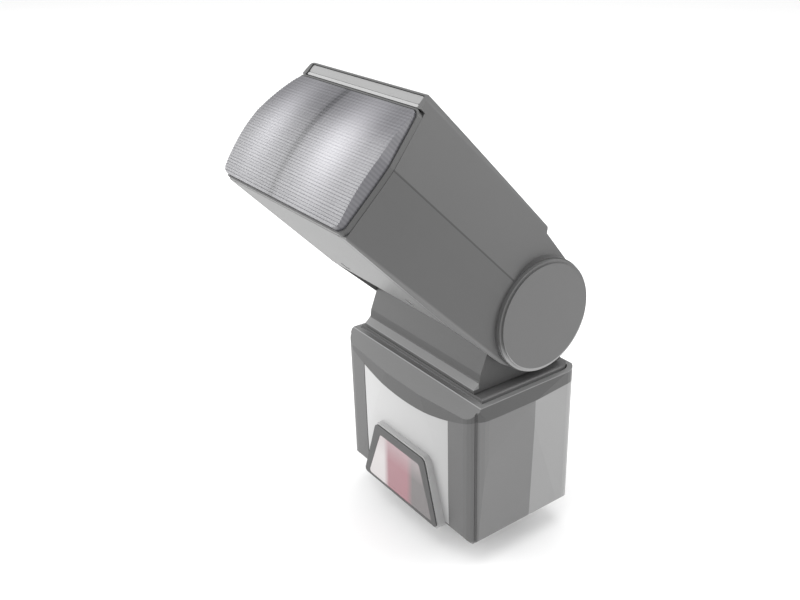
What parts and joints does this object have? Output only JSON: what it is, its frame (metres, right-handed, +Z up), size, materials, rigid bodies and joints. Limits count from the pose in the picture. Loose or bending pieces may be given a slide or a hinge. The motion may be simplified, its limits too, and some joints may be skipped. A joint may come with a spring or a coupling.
{
  "type": "speedlight flash",
  "caption": "Camera flash unit with a zooming head that tilts and swivels on a battery body with a standard hot-shoe foot and lock ring.",
  "frame": {"origin": "bottom centre of the hot-shoe foot plate, under its centre contact", "axes": "+Z up along the swivel axis; the front of the body and the lens face -Y; the tilt axis runs along X"},
  "size_m": [0.0756, 0.0904, 0.1594],
  "materials": {
    "dark_plastic": "fine matt grain",
    "body_plastic": "fine matt grain",
    "light_plastic": "fine matt grain",
    "panel_plastic": "smooth, semi-gloss",
    "panel_black": "smooth, semi-gloss",
    "key_plastic": "smooth matt",
    "lens_clear": "fine horizontal prisms on the inner face",
    "af_red": "translucent red",
    "card_white": "smooth white",
    "diffuser": "translucent, ribbed",
    "display": "smooth",
    "display_cell": "smooth",
    "lamp_red": "translucent",
    "led_clear": "moulded clear",
    "steel": "plated",
    "alloy": "fine bead-blasted",
    "contact_metal": "gold-plated",
    "reflector_metal": "bright rolled",
    "xenon_glass": "clear",
    "board_green": "solder-masked",
    "sleeve_black": "shrink sleeve",
    "cell_sleeve": "printed sleeve, no text",
    "copper": "enamelled wire",
    "bearing_white": "low-friction plastic"
  },
  "bodies": {
    "flash_body": {"hot_shoe_foot": "alloy", "foot_screws": "steel", "body_front_shell": "dark_plastic", "body_rear_shell": "body_plastic", "body_top_cap": "light_plastic", "front_panel": "panel_plastic", "af_assist_frame": "dark_plastic", "af_assist_window": "af_red", "af_assist_led": "led_clear", "rear_panel": "panel_black", "lcd_window": "display", "lcd_module": "display_cell", "ready_lamp": "lamp_red", "battery_tray": "dark_plastic", "battery_contacts": "contact_metal", "battery_cells": "cell_sleeve", "main_circuit_board": "board_green", "rear_circuit_board": "board_green", "power_circuit_board": "board_green", "main_capacitor": "sleeve_black", "step_up_transformer": "copper", "case_screws": "steel", "swivel_bearing": "bearing_white", "door_hinge_pin": "steel"},
    "door": {"battery_door": "body_plastic", "door_contact_plate": "contact_metal"},
    "switch": {"power_switch": "key_plastic"},
    "test_key": {"test_button": "key_plastic"},
    "mode_key": {"mode_button": "key_plastic"},
    "zoom_key": {"zoom_button": "key_plastic"},
    "plus_key": {"plus_button": "key_plastic"},
    "minus_key": {"minus_button": "key_plastic"},
    "clamp_plate": {"pressure_plate": "dark_plastic"},
    "clamp_ring": {"lock_ring": "dark_plastic"},
    "shoe_contacts": {"contact_pins": "contact_metal"},
    "turret": {"turret_front": "dark_plastic", "turret_rear": "dark_plastic", "turret_screws": "steel", "swivel_shaft": "steel", "swivel_retainer": "steel", "tilt_axle": "steel", "tilt_detent_plate": "steel"},
    "head": {"head_top_shell": "body_plastic", "head_bottom_shell": "body_plastic", "head_bezel": "dark_plastic", "lens": "lens_clear", "hinge_cap_right": "dark_plastic", "hinge_cap_left": "dark_plastic", "guide_rods": "steel", "zoom_motor": "alloy", "head_circuit_board": "board_green", "trigger_coil": "copper", "head_screws": "steel"},
    "release_key": {"tilt_release_button": "key_plastic"},
    "diffuser": {"wide_panel": "diffuser"},
    "card": {"bounce_card": "card_white"},
    "zoom_unit": {"zoom_carriage": "dark_plastic", "reflector": "reflector_metal", "flash_tube": "xenon_glass"},
    "zoom_screw": {"lead_screw": "contact_metal"}
  },
  "joints": [
    {"name": "head_swivel", "type": "hinge", "parent": "flash_body", "child": "turret", "pos_m": [0, 0, 0.065], "axis": [0, 0, 1], "range_deg": [-90, 180]},
    {"name": "head_tilt", "type": "hinge", "parent": "turret", "child": "head", "pos_m": [0, 0.0059, 0.086], "axis": [-1, 0, 0], "range_deg": [-45, 45]},
    {"name": "tilt_release", "type": "slide", "parent": "head", "child": "release_key", "axis": [1, 0, 0], "range_m": [0, 0.0012], "stiffness_N_per_m": 1500},
    {"name": "wide_panel_slide", "type": "slide", "parent": "head", "child": "diffuser", "axis": [0, -0.7071, 0.7071], "range_m": [0, 0.036]},
    {"name": "bounce_card_slide", "type": "slide", "parent": "head", "child": "card", "axis": [0, -0.7071, 0.7071], "range_m": [0, 0.034]},
    {"name": "zoom_slide", "type": "slide", "parent": "head", "child": "zoom_unit", "axis": [0, -0.7071, 0.7071], "range_m": [-0.009, 0.009]},
    {"name": "lead_screw_spin", "type": "hinge", "parent": "head", "child": "zoom_screw", "pos_m": [0.0276, -0.03865, 0.11216], "axis": [0, -0.7071, 0.7071], "range_deg": [-810, 810]},
    {"name": "battery_door_hinge", "type": "hinge", "parent": "flash_body", "child": "door", "pos_m": [-0.034, 0.0163, 0.0375], "axis": [0, 0, -1], "range_deg": [0, 90]},
    {"name": "power_switch_slide", "type": "slide", "parent": "flash_body", "child": "switch", "axis": [1, 0, 0], "range_m": [0, 0.006]},
    {"name": "test_press", "type": "slide", "parent": "flash_body", "child": "test_key", "axis": [0, -1, 0], "range_m": [0, 0.0008], "stiffness_N_per_m": 1500},
    {"name": "mode_press", "type": "slide", "parent": "flash_body", "child": "mode_key", "axis": [0, -1, 0], "range_m": [0, 0.0008], "stiffness_N_per_m": 1500},
    {"name": "zoom_press", "type": "slide", "parent": "flash_body", "child": "zoom_key", "axis": [0, -1, 0], "range_m": [0, 0.0008], "stiffness_N_per_m": 1500},
    {"name": "plus_press", "type": "slide", "parent": "flash_body", "child": "plus_key", "axis": [0, -1, 0], "range_m": [0, 0.0008], "stiffness_N_per_m": 1500},
    {"name": "minus_press", "type": "slide", "parent": "flash_body", "child": "minus_key", "axis": [0, -1, 0], "range_m": [0, 0.0008], "stiffness_N_per_m": 1500},
    {"name": "lock_ring_turn", "type": "hinge", "parent": "flash_body", "child": "clamp_ring", "pos_m": [0, 0, 0.0085], "axis": [0, 0, 1], "range_deg": [0, 270]},
    {"name": "clamp_plate_drop", "type": "slide", "parent": "flash_body", "child": "clamp_plate", "axis": [0, 0, -1], "range_m": [0, 0.0014]},
    {"name": "contact_press", "type": "slide", "parent": "flash_body", "child": "shoe_contacts", "axis": [0, 0, 1], "range_m": [0, 0.0006], "stiffness_N_per_m": 1500}
  ],
  "couplings": [
    {"joint": "lead_screw_spin", "follows": "zoom_slide", "rad_per_m": 1570.8},
    {"joint": "clamp_plate_drop", "follows": "lock_ring_turn", "m_per_rad": 0.00029709}
  ]
}
